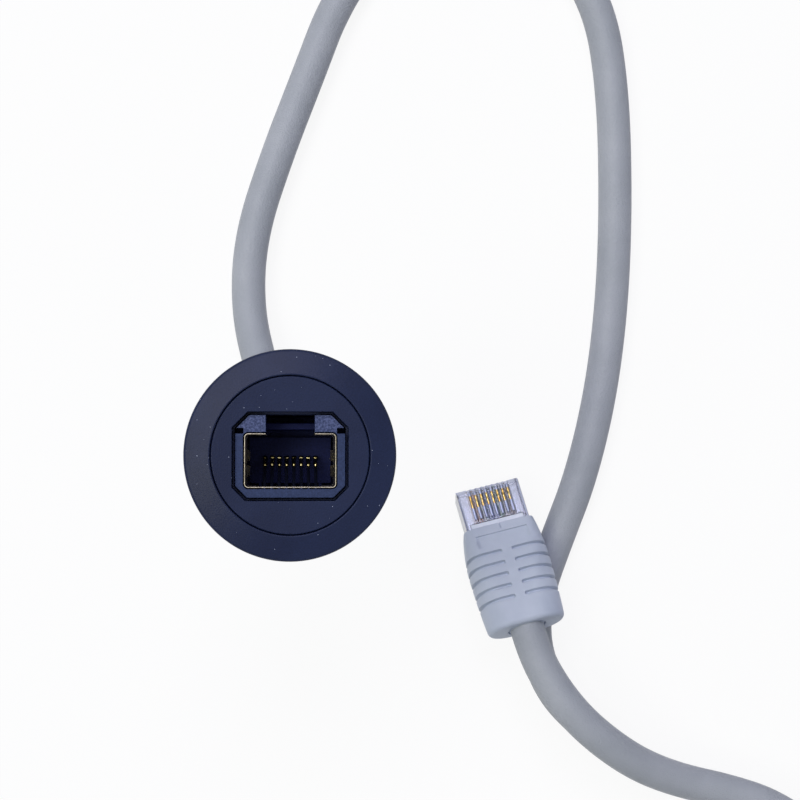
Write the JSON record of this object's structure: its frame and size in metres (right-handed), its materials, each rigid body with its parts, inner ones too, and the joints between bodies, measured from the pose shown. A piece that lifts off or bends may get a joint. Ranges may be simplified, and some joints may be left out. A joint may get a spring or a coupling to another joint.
{
  "type": "ethernet panel socket",
  "caption": "Round panel-mount ethernet socket with a front jack, a lock nut and a short grey lead that ends in a booted modular plug.",
  "frame": {"origin": "centre of the panel seat, the gasket's rear face, on the barrel's axis", "axes": "+Z out of the jack's front along the barrel, +Y towards the jack's latch slot, +X to the right as the jack is faced"},
  "size_m": [0.1231, 0.2493, 0.0814],
  "materials": {
    "black_plastic": "matt",
    "jack_plastic": "matt",
    "plated_shell": "polished",
    "gold_contact": "polished",
    "board": "satin",
    "gasket_rubber": "matt",
    "relief_rubber": "matt",
    "lead_sheath": "satin",
    "clear_plastic": "clear",
    "white_plastic": "satin",
    "boot_plastic": "satin",
    "core_insulation": "satin"
  },
  "bodies": {
    "root": {"bezel_body": "black_plastic", "panel_gasket": "gasket_rubber", "lock_nut": "black_plastic", "face_insert": "black_plastic", "jack_housing": "jack_plastic", "jack_shell": "plated_shell", "contact_carrier": "jack_plastic", "terminal_board": "board", "rear_cover": "black_plastic", "strain_relief": "relief_rubber", "lead": "lead_sheath", "plug_body": "clear_plastic", "plug_bar": "white_plastic", "plug_boot": "boot_plastic", "jack_contact_1": "gold_contact", "jack_contact_2": "gold_contact", "jack_contact_3": "gold_contact", "jack_contact_4": "gold_contact", "jack_contact_5": "gold_contact", "jack_contact_6": "gold_contact", "jack_contact_7": "gold_contact", "jack_contact_8": "gold_contact", "plug_contact_1": "gold_contact", "plug_contact_2": "gold_contact", "plug_contact_3": "gold_contact", "plug_contact_4": "gold_contact", "plug_contact_5": "gold_contact", "plug_contact_6": "gold_contact", "plug_contact_7": "gold_contact", "plug_contact_8": "gold_contact", "plug_core_1": "core_insulation", "plug_core_2": "core_insulation", "plug_core_3": "core_insulation", "plug_core_4": "core_insulation", "plug_core_5": "core_insulation", "plug_core_6": "core_insulation", "plug_core_7": "core_insulation", "plug_core_8": "core_insulation"}
  },
  "joints": []
}
